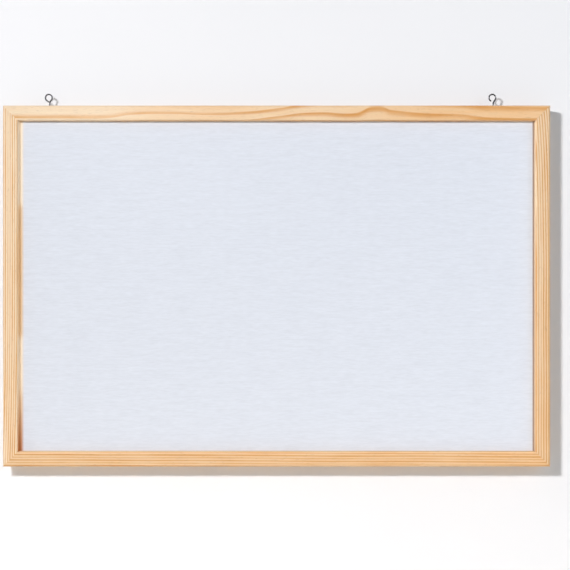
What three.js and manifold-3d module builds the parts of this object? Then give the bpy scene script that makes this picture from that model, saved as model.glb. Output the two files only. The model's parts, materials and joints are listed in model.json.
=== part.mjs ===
// Magnetic whiteboard: a lacquered steel sheet on a fibreboard core, held in a mitred pine frame.
// Millimetres, +Z up. The front looks along -Y and the wall lies at y = 0.
// The origin is on the back of the top rail, at mid-width and halfway up its flat back strip.
import * as THREE from "three";
import { mergeVertices } from "three/addons/utils/BufferGeometryUtils.js";
import Module from "manifold-3d";

const wasm = await Module();
wasm.setup();

// Frame
const frameWidth = 600;
const frameHeight = 396;
const railFace = 16.5;
const railDepth = 18;
const outerArrisRadius = 3;
const sightArrisRadius = 0.9;
const backArrisRadius = 0.8;
const glueLine = 0.2;

// Rebate that holds the panel, open to the back
const lipDepth = 6;
const rebateWidth = 4.5;

// Panel: three boards laid face to face in the rebate
const panelClearance = 1;
const sheetThickness = 0.5;
const coreThickness = 4;
const backingThickness = 2.5;

// V-nails pressed across each mitre from behind
const nailSpread = 7;
const nailRise = 2.6;
const nailThickness = 0.6;
const nailHeight = 8;
const nailRecess = 0.3;
const nailClearance = 0.25;
const nailPlaceShares = { outer: 0.5, inner: 0.82 };

// Flat steel points driven into the rebate wall, lying on the backing
const pointWidth = 6;
const pointReach = 8;
const pointBite = 6;
const pointThickness = 0.5;
const pointClearance = 0.3;
const pointTailRadius = 2;
const pointTipShare = 0.5;
const pointInset = 90;
const longRailPointCount = 4;
const shortRailPointCount = 3;

// Screw eyes in the top edge of the top rail; the left ring is bent shut and the right one stands open
const leftEyeInset = 48;
const rightEyeInset = 61;
const eyeWireDiameter = 1.5;
const eyeRingDiameter = 9;
const eyeNeckHeight = 5.2;
const eyeNeckDropShare = 1.44;
const eyeBendLength = 0.9;
const leftEyeEndGap = 0.2;
const rightEyeEndGap = 1.9;
const eyeLean = THREE.MathUtils.degToRad(10);
const eyeBite = 9;
const eyeTipLength = 2.5;
const eyeTipShare = 0.2;
const eyePilotClearance = 0.3;

// Fineness of the curves
const arrisSegments = 6;
const tailSegments = 5;
const wireSides = 10;
const wireSteps = 72;
const pilotSides = 24;

// How far a cutter runs past the face that it opens
const overrun = 1;

// Worked out from the sizes above
const backStrip = railFace - rebateWidth;
const rebateDepth = railDepth - lipDepth;
const mitreLength = Math.hypot(backStrip, backStrip);
const panelWidth = frameWidth - 2 * (backStrip + panelClearance);
const panelHeight = frameHeight - 2 * (backStrip + panelClearance);
const topEdge = backStrip / 2;
const middleHeight = topEdge - frameHeight / 2;
const sheetFront = lipDepth - railDepth;
const coreFront = sheetFront + sheetThickness;
const backingFront = coreFront + coreThickness;
const backingRear = backingFront + backingThickness;
const eyeWireRadius = eyeWireDiameter / 2;
const eyeRingRadius = (eyeRingDiameter - eyeWireDiameter) / 2;
const eyeNeckDrop = eyeNeckDropShare * eyeRingRadius;

const pine = new THREE.MeshStandardMaterial({ color: 0xebc69a, roughness: 0.55, metalness: 0 });
const whiteLacquer = new THREE.MeshStandardMaterial({ color: 0xe6eaf2, roughness: 0.3, metalness: 0 });
const fibreboard = new THREE.MeshStandardMaterial({ color: 0xb08f68, roughness: 0.9, metalness: 0 });
const hardboard = new THREE.MeshStandardMaterial({ color: 0x7a5536, roughness: 0.7, metalness: 0 });
const blueSteel = new THREE.MeshStandardMaterial({ color: 0x8a8f96, roughness: 0.4, metalness: 1 });
const zincPlate = new THREE.MeshStandardMaterial({ color: 0xc9ccd1, roughness: 0.25, metalness: 1 });

// A closed geometry as a solid that can be cut
function solidOf(geometry) {
  const bare = geometry.clone();
  bare.deleteAttribute("normal");
  bare.deleteAttribute("uv");
  const merged = mergeVertices(bare);
  const mesh = new wasm.Mesh({
    numProp: 3,
    vertProperties: new Float32Array(merged.attributes.position.array),
    triVerts: new Uint32Array(merged.index.array),
  });
  return new wasm.Manifold(mesh);
}

// The solid back as a geometry with flat faces
function geometryOf(solid) {
  const mesh = solid.getMesh();
  const geometry = new THREE.BufferGeometry();
  geometry.setAttribute("position", new THREE.BufferAttribute(mesh.vertProperties, 3));
  geometry.setIndex(new THREE.BufferAttribute(mesh.triVerts, 1));
  const flat = geometry.toNonIndexed();
  flat.computeVertexNormals();
  return flat;
}

function cut(geometry, cutters) {
  let solid = solidOf(geometry);
  for (const cutter of cutters) {
    solid = solid.subtract(solidOf(cutter));
  }
  return geometryOf(solid);
}

function namedMesh(name, geometry, material) {
  const mesh = new THREE.Mesh(geometry, material);
  mesh.name = name;
  return mesh;
}

// Rail section: x runs in from the outer edge, y from the wall to the front
function railSection() {
  const section = new THREE.Shape();
  const quarter = Math.PI / 2;
  section.moveTo(backArrisRadius, 0);
  section.absarc(backArrisRadius, -backArrisRadius, backArrisRadius, quarter, 2 * quarter, false);
  section.lineTo(0, outerArrisRadius - railDepth);
  section.absarc(
    outerArrisRadius, outerArrisRadius - railDepth, outerArrisRadius, 2 * quarter, 3 * quarter, false);
  const sightArris = railFace - sightArrisRadius;
  section.lineTo(sightArris, -railDepth);
  section.absarc(
    sightArris, sightArrisRadius - railDepth, sightArrisRadius, 3 * quarter, 4 * quarter, false);
  section.lineTo(railFace, -rebateDepth);
  section.lineTo(backStrip, -rebateDepth);
  section.lineTo(backStrip, 0);
  section.closePath();
  return section;
}

// A mitred rail lying along x, with its outer edge on z = 0 and its sight edge below
function mitredBar(length) {
  const bar = new THREE.ExtrudeGeometry(railSection(), {
    depth: length,
    steps: 1,
    curveSegments: arrisSegments,
    bevelEnabled: false,
  });
  bar.translate(0, 0, -length / 2);
  bar.rotateY(Math.PI / 2);
  const places = bar.attributes.position;
  const halfGlue = glueLine / 2 * Math.SQRT2;
  for (let i = 0; i < places.count; i++) {
    const inset = -places.getZ(i);
    const reach = length / 2 - inset - halfGlue;
    places.setX(i, Math.sign(places.getX(i)) * reach);
  }
  return bar;
}

// V-nail outline: x runs along the mitre from the outer corner, and the V points towards the sight edge
function nailOutline(grow) {
  const halfSpread = nailSpread / 2 + grow;
  const slope = nailSpread / 2 / nailRise;
  const wall = (nailThickness / 2 + grow) * Math.hypot(1, 1 / slope);
  const outline = new THREE.Shape();
  outline.moveTo(wall, 0);
  outline.lineTo(wall - halfSpread / slope, halfSpread);
  outline.lineTo(-wall - halfSpread / slope, halfSpread);
  outline.lineTo(-wall, 0);
  outline.lineTo(-wall - halfSpread / slope, -halfSpread);
  outline.lineTo(wall - halfSpread / slope, -halfSpread);
  outline.closePath();
  return outline;
}

// A V-nail or its pocket, standing in the wood from its back end towards the front
function nailBody(grow, backEnd, frontEnd) {
  const body = new THREE.ExtrudeGeometry(nailOutline(grow), {
    depth: frontEnd - backEnd,
    bevelEnabled: false,
  });
  body.translate(0, 0, backEnd);
  body.rotateX(Math.PI / 2);
  return body;
}

// How far along the mitre from the outer corner a nail's V has its point
function nailPlace(share) {
  return share * mitreLength;
}

// Pockets for the nails at both ends of a rail
function nailPockets(length) {
  const pockets = [];
  for (const end of [-1, 1]) {
    for (const share of Object.values(nailPlaceShares)) {
      const pocket = nailBody(nailClearance, -overrun, nailRecess + nailHeight + nailClearance);
      const inward = nailPlace(share) / Math.SQRT2;
      pocket.rotateY(end < 0 ? Math.PI / 4 : 3 * Math.PI / 4);
      pocket.translate(end * (length / 2 - inward), 0, -inward);
      pockets.push(pocket);
    }
  }
  return pockets;
}

function pointPlaces(length, count) {
  const span = length - 2 * pointInset;
  const places = [];
  for (let i = 0; i < count; i++) {
    places.push(span * (i / (count - 1) - 0.5));
  }
  return places;
}

// Slots in the rebate wall for the points' tips
function pointSlots(places) {
  return places.map((x) => {
    const deep = pointBite + pointClearance + overrun;
    const slot = new THREE.BoxGeometry(
      pointWidth + 2 * pointClearance, pointThickness + 2 * pointClearance, deep);
    slot.translate(x, backingRear + pointThickness / 2, deep / 2 - backStrip - overrun);
    return slot;
  });
}

// Pilot holes from the outer edge for the screw eyes
function pilotHoles(places) {
  return places.map((x) => {
    const deep = eyeBite + eyePilotClearance + overrun;
    const radius = eyeWireRadius + eyePilotClearance;
    const hole = new THREE.CylinderGeometry(radius, radius, deep, pilotSides);
    hole.rotateX(Math.PI / 2);
    hole.translate(x, -railDepth / 2, overrun - deep / 2);
    return hole;
  });
}

// Flat point: a tail with rounded corners on the backing, and an arrow tip in the wood
function pointGeometry() {
  const half = pointWidth / 2;
  const tip = pointTipShare * pointBite;
  const tail = new THREE.Shape();
  tail.moveTo(half, pointBite - tip);
  tail.lineTo(0, pointBite);
  tail.lineTo(-half, pointBite - tip);
  const heel = pointTailRadius - pointReach;
  tail.lineTo(-half, heel);
  tail.absarc(pointTailRadius - half, heel, pointTailRadius, Math.PI, 1.5 * Math.PI, false);
  tail.absarc(half - pointTailRadius, heel, pointTailRadius, 1.5 * Math.PI, 2 * Math.PI, false);
  tail.closePath();
  const flat = new THREE.ExtrudeGeometry(tail, {
    depth: pointThickness,
    curveSegments: tailSegments,
    bevelEnabled: false,
  });
  flat.rotateX(Math.PI / 2);
  flat.translate(0, pointThickness, 0);
  return flat;
}

// Round part of the eye, turning from straight below its centre towards +x
class RingArc extends THREE.Curve {
  constructor(centre, radius, from, to) {
    super();
    this.centre = centre;
    this.radius = radius;
    this.from = from;
    this.to = to;
  }

  getPoint(t, target = new THREE.Vector3()) {
    const turn = this.from + (this.to - this.from) * t;
    const x = this.centre.x + this.radius * Math.sin(turn);
    const z = this.centre.z - this.radius * Math.cos(turn);
    return target.set(x, 0, z);
  }
}

// A point at a distance from the neck, in a direction that leans from upright towards +x
function fromNeck(distance, lean) {
  return new THREE.Vector3(distance * Math.sin(lean), 0, eyeNeckHeight + distance * Math.cos(lean));
}

// The wire's middle line: up the shank, out at the neck, round the ring and back towards the neck
function eyePath(endGap) {
  const halfFork = Math.asin(eyeRingRadius / eyeNeckDrop);
  const straight = Math.sqrt(eyeNeckDrop ** 2 - eyeRingRadius ** 2);
  const outward = halfFork - eyeLean;
  const inward = -halfFork - eyeLean;
  const foot = new THREE.Vector3(0, 0, -eyeBite);
  const bendStart = fromNeck(eyeBendLength, Math.PI);
  const bendEnd = fromNeck(eyeBendLength, outward);
  const ringStart = fromNeck(straight, outward);
  const ringEnd = fromNeck(straight, inward);
  const wireEnd = fromNeck(eyeWireRadius + endGap, inward);
  const ringCentre = fromNeck(eyeNeckDrop, -eyeLean);
  const from = eyeLean + Math.PI / 2 - halfFork;
  const to = eyeLean - Math.PI / 2 + halfFork + 2 * Math.PI;
  const path = new THREE.CurvePath();
  path.add(new THREE.LineCurve3(foot, bendStart));
  path.add(new THREE.QuadraticBezierCurve3(bendStart, fromNeck(0, 0), bendEnd));
  path.add(new THREE.LineCurve3(bendEnd, ringStart));
  path.add(new RingArc(ringCentre, eyeRingRadius, from, to));
  path.add(new THREE.LineCurve3(ringEnd, wireEnd));
  return path;
}

// Screw eye: one bent wire, drawn to a point at the foot of its shank
function screwEyeGeometry(endGap) {
  const section = new THREE.Shape();
  for (let i = 0; i < wireSides; i++) {
    const turn = 2 * Math.PI * i / wireSides;
    const x = eyeWireRadius * Math.cos(turn);
    const y = eyeWireRadius * Math.sin(turn);
    if (i === 0) {
      section.moveTo(x, y);
    } else {
      section.lineTo(x, y);
    }
  }
  section.closePath();
  const wire = new THREE.ExtrudeGeometry(section, {
    steps: wireSteps,
    extrudePath: eyePath(endGap),
    bevelEnabled: false,
  });
  const places = wire.attributes.position;
  for (let i = 0; i < places.count; i++) {
    const aboveFoot = places.getZ(i) + eyeBite;
    const taper = eyeTipShare + (1 - eyeTipShare) * Math.min(1, aboveFoot / eyeTipLength);
    places.setX(i, places.getX(i) * taper);
    places.setY(i, places.getY(i) * taper);
  }
  return wire;
}

const group = new THREE.Group();

// Frame: four rails, each with its own points
const board = new THREE.Group();
board.position.set(0, 0, middleHeight);
group.add(board);

const leftEyePlace = leftEyeInset - frameWidth / 2;
const rightEyePlace = frameWidth / 2 - rightEyeInset;
const rails = [
  { side: "top", length: frameWidth, points: longRailPointCount, turn: 0, out: frameHeight / 2 },
  { side: "right", length: frameHeight, points: shortRailPointCount, turn: Math.PI / 2, out: frameWidth / 2 },
  { side: "bottom", length: frameWidth, points: longRailPointCount, turn: Math.PI, out: frameHeight / 2 },
  { side: "left", length: frameHeight, points: shortRailPointCount, turn: -Math.PI / 2, out: frameWidth / 2 },
];

for (const rail of rails) {
  const place = new THREE.Group();
  place.rotation.y = rail.turn;
  place.position.set(rail.out * Math.sin(rail.turn), 0, rail.out * Math.cos(rail.turn));
  const places = pointPlaces(rail.length, rail.points);
  const cutters = [...nailPockets(rail.length), ...pointSlots(places)];
  if (rail.side === "top") {
    cutters.push(...pilotHoles([leftEyePlace, rightEyePlace]));
  }
  place.add(namedMesh(`rail_${rail.side}`, cut(mitredBar(rail.length), cutters), pine));
  places.forEach((x, i) => {
    const point = namedMesh(`panel_point_${rail.side}_${i + 1}`, pointGeometry(), blueSteel);
    point.position.set(x, backingRear, -backStrip);
    place.add(point);
  });
  board.add(place);
}

// V-nails, two across each mitre
const corners = [
  { name: "top_left", x: -1, z: 1 },
  { name: "top_right", x: 1, z: 1 },
  { name: "bottom_right", x: 1, z: -1 },
  { name: "bottom_left", x: -1, z: -1 },
];

for (const corner of corners) {
  const place = new THREE.Group();
  place.position.set(corner.x * frameWidth / 2, 0, corner.z * frameHeight / 2);
  place.rotation.y = Math.atan2(corner.z, -corner.x);
  for (const [name, share] of Object.entries(nailPlaceShares)) {
    const body = nailBody(0, nailRecess, nailRecess + nailHeight);
    const nail = namedMesh(`corner_nail_${corner.name}_${name}`, body, blueSteel);
    nail.position.set(nailPlace(share), 0, 0);
    place.add(nail);
  }
  board.add(place);
}

// Panel
const boards = [
  { name: "steel_sheet", front: sheetFront, thickness: sheetThickness, material: whiteLacquer },
  { name: "core_board", front: coreFront, thickness: coreThickness, material: fibreboard },
  { name: "backing_board", front: backingFront, thickness: backingThickness, material: hardboard },
];

for (const layer of boards) {
  const slab = new THREE.BoxGeometry(panelWidth, layer.thickness, panelHeight);
  const mesh = namedMesh(layer.name, slab, layer.material);
  mesh.position.set(0, layer.front + layer.thickness / 2, 0);
  board.add(mesh);
}

// Screw eyes
const eyes = [
  { name: "screw_eye_left", x: leftEyePlace, endGap: leftEyeEndGap },
  { name: "screw_eye_right", x: rightEyePlace, endGap: rightEyeEndGap },
];

for (const eye of eyes) {
  const mesh = namedMesh(eye.name, screwEyeGeometry(eye.endGap), zincPlate);
  mesh.position.set(eye.x, -railDepth / 2, topEdge);
  group.add(mesh);
}

export default group;
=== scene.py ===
"""Magnetic whiteboard: its wood, lacquer, hardware, stage and camera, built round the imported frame."""

import json
import math

import bmesh
import bpy
from bpy.props import FloatProperty, FloatVectorProperty, PointerProperty
from mathutils import Matrix, Vector


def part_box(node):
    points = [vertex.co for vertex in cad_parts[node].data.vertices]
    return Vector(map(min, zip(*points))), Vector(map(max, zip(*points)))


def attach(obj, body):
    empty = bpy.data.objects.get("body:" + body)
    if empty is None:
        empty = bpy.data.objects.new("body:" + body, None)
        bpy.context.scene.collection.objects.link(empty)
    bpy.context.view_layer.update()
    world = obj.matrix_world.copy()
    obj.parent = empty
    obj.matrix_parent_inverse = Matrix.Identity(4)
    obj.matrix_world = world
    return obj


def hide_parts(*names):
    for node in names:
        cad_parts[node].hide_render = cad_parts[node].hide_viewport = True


bl_info = {
    "name": "Magnetic Whiteboard",
    "version": (1, 0, 0),
    "blender": (4, 5, 0),
    "location": "View3D > Sidebar > Whiteboard",
    "description": "Pine-framed magnetic whiteboard with two screw eyes",
    "category": "Object",
}

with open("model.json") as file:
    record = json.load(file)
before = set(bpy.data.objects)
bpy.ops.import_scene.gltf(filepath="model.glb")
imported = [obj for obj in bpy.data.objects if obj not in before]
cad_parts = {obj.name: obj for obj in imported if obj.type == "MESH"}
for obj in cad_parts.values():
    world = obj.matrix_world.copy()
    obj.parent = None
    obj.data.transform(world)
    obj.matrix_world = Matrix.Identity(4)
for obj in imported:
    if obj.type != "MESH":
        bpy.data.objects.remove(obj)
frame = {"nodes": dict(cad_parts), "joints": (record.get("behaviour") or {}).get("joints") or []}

MM = 0.001
QUARTER = math.pi / 2
WHITE = (1.0, 1.0, 1.0)
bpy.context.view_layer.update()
SIDES = ("top", "right", "bottom", "left")
LEVEL = ("top", "bottom")
TURNS = {"top": 0.0, "right": QUARTER, "bottom": math.pi, "left": -QUARTER}
RAIL_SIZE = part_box("rail_top")[1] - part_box("rail_top")[0]
OUTER_EDGES = {
    "top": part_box("rail_top")[1].z, "right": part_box("rail_right")[1].x,
    "bottom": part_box("rail_bottom")[0].z, "left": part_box("rail_left")[0].x,
}


def srgb(red, green, blue):
    """A colour as a screen shows it, 0 to 255, turned into the linear one that a shader takes."""
    shares = [level / 255 for level in (red, green, blue)]
    return tuple(s / 12.92 if s <= 0.04045 else ((s + 0.055) / 1.055) ** 2.4 for s in shares)


def metres(name, description, default, low=0.0):
    return FloatProperty(
        name=name, description=description, default=default, min=low, unit="LENGTH", precision=5)


def factor(name, description, default, high=1.0):
    return FloatProperty(
        name=name, description=description, default=default, min=0.0, max=high, subtype="FACTOR")


def watts(name, description, default):
    return FloatProperty(name=name, description=description, default=default, min=0.0, unit="POWER")


def paint(name, description, default):
    return FloatVectorProperty(
        name=name, description=description, default=default, size=3, min=0.0, max=1.0, subtype="COLOR")


class WhiteboardSizes(bpy.types.PropertyGroup):
    """Sizes of the pine frame and of the boards in it."""

    width: metres("Width", "Outer width of the frame", OUTER_EDGES["right"] - OUTER_EDGES["left"])
    height: metres("Height", "Outer height of the frame", OUTER_EDGES["top"] - OUTER_EDGES["bottom"])
    rail_face: metres("Rail Face", "Width of a rail's front face", RAIL_SIZE.z)
    rail_depth: metres("Rail Depth", "Depth of a rail from the wall", RAIL_SIZE.y)
    rebate_width: metres("Rebate Width", "How far a rail's lip reaches over the boards", 4.5 * MM)
    outer_arris: metres("Outer Arris", "Radius of the outer front edge", 3 * MM)
    sight_arris: metres("Sight Arris", "Radius of the front edge beside the sheet", 0.9 * MM)
    back_arris: metres("Back Arris", "Radius of the outer back edge", 0.8 * MM)
    glue_line: metres("Glue Line", "Gap between two mitred ends", 0.1 * MM)
    sanding: metres("Hand Sanding", "How far the front strays from true", 0.05 * MM)
    waviness: metres("Sheet Waviness", "How far the steel sheet strays from flat", 0.05 * MM)


class WhiteboardHardware(bpy.types.PropertyGroup):
    """Sizes of the nails, points and screw eyes."""

    nail_spread: metres("Nail Spread", "Width of a V-nail across the mitre", 7 * MM)
    nail_rise: metres("Nail Rise", "How far a V-nail's point lies ahead of its ends", 2.6 * MM)
    nail_thickness: metres("Nail Thickness", "Thickness of a V-nail's strip", 0.6 * MM)
    nail_height: metres("Nail Height", "How deep a V-nail reaches", 8 * MM)
    nail_recess: metres("Nail Recess", "How far a V-nail lies below the back", 0.3 * MM)
    nail_clearance: metres("Nail Clearance", "Room round a V-nail in its pocket", 0.25 * MM)
    nail_fold: metres("Nail Fold", "Radius of the V-nail's fold", 0.7 * MM)
    nail_outer: factor("Outer Nail Place", "Place of the outer V-nail along the mitre", 0.5)
    nail_inner: factor("Inner Nail Place", "Place of the inner V-nail along the mitre", 0.82)
    point_width: metres("Point Width", "Width of a flat point", 6 * MM)
    point_reach: metres("Point Reach", "How far a flat point reaches over the backing", 8 * MM)
    point_bite: metres("Point Bite", "How deep a flat point sits in the wood", 6 * MM)
    point_thickness: metres("Point Thickness", "Thickness of a flat point", 0.5 * MM)
    point_clearance: metres("Point Clearance", "Room round a flat point's tip", 0.3 * MM)
    point_inset: metres("Point Inset", "Distance of the end points from the rail's end", 90 * MM)
    wire: metres("Eye Wire", "Diameter of a screw eye's wire", 1.5 * MM)
    ring: metres("Eye Ring", "Outer diameter of a screw eye's ring", 9 * MM)
    neck: metres("Eye Neck", "Height of the neck above the rail", 5.2 * MM)
    neck_drop: factor("Neck Drop", "Drop from ring to neck, in ring radii", 1.44, 3.0)
    bend: metres("Neck Bend", "Length of wire that bends at the neck", 0.9 * MM)
    left_gap: metres("Left Eye Gap", "Gap between the left wire's end and its neck", 0.2 * MM)
    right_gap: metres("Right Eye Gap", "Gap between the right wire's end and its neck", 1.9 * MM)
    lean: FloatProperty(
        name="Eye Lean", description="How far the ring leans over its shank",
        default=math.radians(10), subtype="ANGLE")
    bite: metres("Eye Bite", "How deep the shank sits in the rail", 9 * MM)
    tip: metres("Eye Tip", "Length of the shank's drawn point", 2.5 * MM)
    pilot_clearance: metres("Pilot Clearance", "Room round the shank in its pilot hole", 0.3 * MM)
    thread_pitch: metres("Thread Pitch", "Distance between two turns of the thread", 0.9 * MM)
    thread_rise: metres("Thread Rise", "Height of the thread over the shank", 0.22 * MM)


class WhiteboardFinish(bpy.types.PropertyGroup):
    """Colours and sheen of the finishes, and the colours of the painted light and shade on the sight edges.
    """

    pine_pale: paint("Pale Pine", "Soft early wood where the pine is pale", srgb(253, 230, 199))
    pine_deep: paint("Deep Pine", "Soft early wood where the pine is deep", srgb(245, 198, 146))
    growth_pale: paint("Pale Growth", "Hard late wood where the pine is pale", srgb(240, 192, 134))
    growth_deep: paint("Deep Growth", "Hard late wood where the pine is deep", srgb(224, 160, 90))
    pine_roughness: factor("Pine Roughness", "Roughness of the satin lacquer on the wood", 0.5)
    sheet_colour: paint("Sheet", "White lacquer of the steel sheet", srgb(227, 232, 243))
    sheet_roughness: factor("Sheet Roughness", "Roughness of the white lacquer", 0.6)
    sheet_streaks: factor("Sheet Streaks", "Strength of the level streaks in the lacquer", 0.055)
    # Painted light and shade of the sight edges: the shades are painted shade, cream and glow painted
    # light.
    sight_shade: paint("Sight Shade", "Darkened wood beside the sheet", srgb(204, 118, 38))
    edge_shade: paint("Edge Shade", "Dull brown line beside the sheet", srgb(146, 112, 76))
    sight_cream: paint("Sight Cream", "Pale wood beside the sheet", srgb(255, 238, 214))
    sight_glow: paint("Sight Glow", "Amber wood beside the sheet", srgb(255, 214, 162))
    board_colour: paint("Hardboard", "Brown backing board", srgb(122, 85, 54))
    core_colour: paint("Fibreboard", "Core board", srgb(176, 143, 104))
    steel_colour: paint("Blued Steel", "Nails and points", srgb(122, 128, 136))
    zinc_colour: paint("Zinc Plate", "Screw eyes", srgb(92, 91, 94))


class WhiteboardStudio(bpy.types.PropertyGroup):
    """Camera, lamps, wall and floor."""

    camera_x: metres("Camera Place", "Where the camera stands across the board", 0.0654)
    camera_z: metres("Camera Height", "Height of the camera", -0.2078, -10.0)
    distance: metres("Camera Distance", "From the camera to the board's front", 0.700)
    lens: FloatProperty(
        name="Lens", description="Focal length", default=40.45, min=10.0, unit="CAMERA")
    shift_x: FloatProperty(name="Shift Across", description="Sideways shift of the lens", default=-0.0901)
    shift_y: FloatProperty(name="Shift Up", description="Upward shift of the lens", default=0.0271)
    key_power: watts("Key", "Power of the key lamp", 6.2)
    fill_power: watts("Fill", "Power of the fill lamp", 9.0)
    side_power: watts("Side", "Power of the side lamp", 6.0)
    low_power: watts("Low", "Power of the low warm lamp", 0.15)
    back_power: watts("Back", "Power of the lamp behind", 14.0)
    world_strength: FloatProperty(
        name="Sky", description="Strength of the even light all round", default=0.1, min=0.0)
    wall_colour: paint("Wall", "Pale wall", srgb(253, 252, 255))
    # Painted glow: a faint blue the wall gives off itself, which lifts and cools the shadows on it.
    wall_haze: paint("Wall Painted Glow", "Faint blue that the wall shows of itself", (0.0, 0.012, 0.018))
    floor_colour: paint("Floor", "Pale floor", srgb(246, 239, 226))
    floor_z: metres("Floor Height", "Height of the floor", -0.65, -10.0)


class Output:
    """A node's output. Sums, products and the like of it are Math nodes in its own tree."""

    def __init__(self, socket):
        self.socket = socket
        self.tree = socket.id_data

    def calc(self, operation, *others):
        return take("ShaderNodeMath", dict(enumerate((self, *others))), operation=operation)

    def __add__(self, other):
        return self.calc("ADD", other)

    def __sub__(self, other):
        return self.calc("SUBTRACT", other)

    def __mul__(self, other):
        return self.calc("MULTIPLY", other)

    def __truediv__(self, other):
        return self.calc("DIVIDE", other)

    def __neg__(self):
        return self * -1.0


def feed(socket, value):
    """Links an input to an output, or sets it to a plain value."""
    if isinstance(value, Output):
        value.tree.links.new(value.socket, socket)
    else:
        socket.default_value = value


def put(kind, feeds=None, tree=None, **settings):
    """A new node, set up and fed, in the tree given or in that of the outputs that feed it."""
    feeds = feeds or {}
    tree = tree or next(value.tree for value in feeds.values() if isinstance(value, Output))
    node = tree.nodes.new(kind)
    for key, value in settings.items():
        setattr(node, key, value)
    for key, value in feeds.items():
        feed(node.inputs[key], value)
    return node


def take(kind, feeds=None, key=0, tree=None, **settings):
    """One output of a new node."""
    return Output(put(kind, feeds, tree, **settings).outputs[key])


def ramp(value, start, end, low=0.0, high=1.0, shape="SMOOTHSTEP"):
    """A value taken from one range to another and held at both ends."""
    feeds = {0: value, 1: start, 2: end, 3: low, 4: high}
    return take("ShaderNodeMapRange", feeds, interpolation_type=shape)


def noise(place, scale, detail=2.0, roughness=0.5):
    feeds = {"Vector": place, "Scale": scale, "Detail": detail, "Roughness": roughness}
    return take("ShaderNodeTexNoise", feeds)


def mix(share, first, second, blend="MIX"):
    """Two colours mixed by the share of the second."""
    first, second = (c if isinstance(c, Output) else (*c, 1.0) for c in (first, second))
    return take("ShaderNodeMix", {0: share, 6: first, 7: second}, 2, data_type="RGBA", blend_type=blend)


def toned(colour, gain):
    return [min(1.0, level * gain) for level in colour]


def vector(x=0.0, y=0.0, z=0.0):
    return take("ShaderNodeCombineXYZ", {0: x, 1: y, 2: z})


def split(place):
    """The X, Y and Z of a vector."""
    return [Output(socket) for socket in put("ShaderNodeSeparateXYZ", {0: place}).outputs]


def new_material(name, roughness, metallic=0.0, specular=0.5):
    """A material, its shader with the even values on its own sockets, and the shaded place in metres."""
    material = bpy.data.materials.new(name)
    material.use_nodes = True
    shader = material.node_tree.nodes["Principled BSDF"]
    shader.inputs["Roughness"].default_value = roughness
    shader.inputs["Metallic"].default_value = metallic
    shader.inputs["Specular IOR Level"].default_value = specular
    return material, shader, take("ShaderNodeTexCoord", key="Object", tree=material.node_tree)


def dress(shader, colour, sheen, height, depth, strength):
    """Gives a shader its colour, its sheen unless that is even, and relief as deep as given in metres."""
    feed(shader.inputs["Base Color"], colour)
    if sheen is not None:
        feed(shader.inputs["Roughness"], sheen)
    relief = take("ShaderNodeBump", {"Strength": strength, "Distance": depth, "Height": height})
    feed(shader.inputs["Normal"], relief)


# How each rail was cut, in millimetres, by place along the rail where a value changes.
# deep and spacing: from ring to ring, from front to back and across the face. line: how the grain strays.
# tone and growth: how deep the early and late wood's colours are. The sight edge's entry: strength and tint
# of the painted light and shade on it, then where it is painted in shade and where it is painted lit and
# warm.
PINE_CUTS = {
    "top": {
        "deep": -8.0, "flame": True, "shade": 1.0, "contrast": (0.9, 1.0),
        "spacing": ((-300, 15), (-194, 15), (-161, 13), (-117, 11.5), (-84, 11), (-40, 9.5), (4, 8.3),
                    (48, 11), (80, 13), (108, 14.5), (135, 13), (168, 12), (201, 11.5), (234, 12.2),
                    (300, 11.8)),
        "line": ((-300, -23.0), (-238, -23.4), (-194, -23.4), (-161, -17.6), (-117, -14.8), (-84, -15.5),
                 (-40, -12.3), (4, -6.5), (48, -3.1), (80, -4.5), (96, -0.5), (110, 2.8), (124, -0.5),
                 (138, -2.0), (168, -4.2), (201, -5.2), (234, -9.0), (300, -9.4)),
        "tone": ((-300, 0.15), (-200, 0.2), (-155, 0.4), (-110, 0.6), (-60, 0.65), (0, 0.55), (90, 0.6),
                 (150, 0.85), (300, 0.9)),
        "growth": ((-300, 0.45), (-150, 0.6), (-60, 0.85), (0, 1.0), (300, 1.1))},
    "right": {
        "deep": 5.0, "shade": 0.94, "contrast": (0.7, 1.05),
        "spacing": ((-198, 2.75), (198, 2.75)),
        "line": ((-198, 0.6), (-60, 0.3), (40, 0.2), (110, -0.8), (160, -2.6), (198, -5.5)),
        "tone": ((-198, 0.5), (-80, 0.45), (0, 0.3), (198, 0.3)),
        "growth": ((-198, 1.1), (-80, 1.05), (0, 0.85), (198, 0.8)),
        "painted_light": (0.7, "edge_shade", ((-198, 0.5), (198, 0.4)), ((-198, 0.2), (198, 0.1)))},
    "bottom": {
        "deep": 6.0, "shade": 0.965, "contrast": (0.65, 1.0),
        "spacing": ((-300, 2.95), (300, 2.95)),
        "line": ((-300, 1.3), (-120, 0.6), (60, -0.3), (180, -0.6), (300, -1.6)),
        "tone": ((-300, 0.65), (0, 0.75), (300, 0.85)),
        "growth": ((-300, 0.85), (0, 0.95), (300, 1.05)),
        "painted_light": (0.5, "edge_shade", ((-300, 0.8), (300, 1.0)), ((-300, 0.0), (300, 0.0)))},
    "left": {
        "deep": 4.5, "shade": 1.0, "contrast": (0.65, 1.0),
        "spacing": ((-198, 2.45), (198, 2.45)),
        "line": ((-198, -3.0), (-150, -1.4), (-90, -0.3), (0, 0.0), (198, 0.3)),
        "tone": ((-198, 0.2), (0, 0.1), (198, 0.0)),
        "growth": ((-198, 0.85), (0, 0.65), (198, 0.45)),
        "painted_light": (
            0.9, "sight_shade",
            ((-198, 1.0), (-175, 0.85), (-150, 0.5), (-125, 0.15), (-100, 0.0), (198, 0.0)),
            ((-198, 0.9), (-130, 0.7), (-106, 0.3), (-62, 0.25), (-50, 0.9), (30, 0.95), (84, 0.8),
             (96, 0.15), (198, 0.1)))},
}
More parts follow.
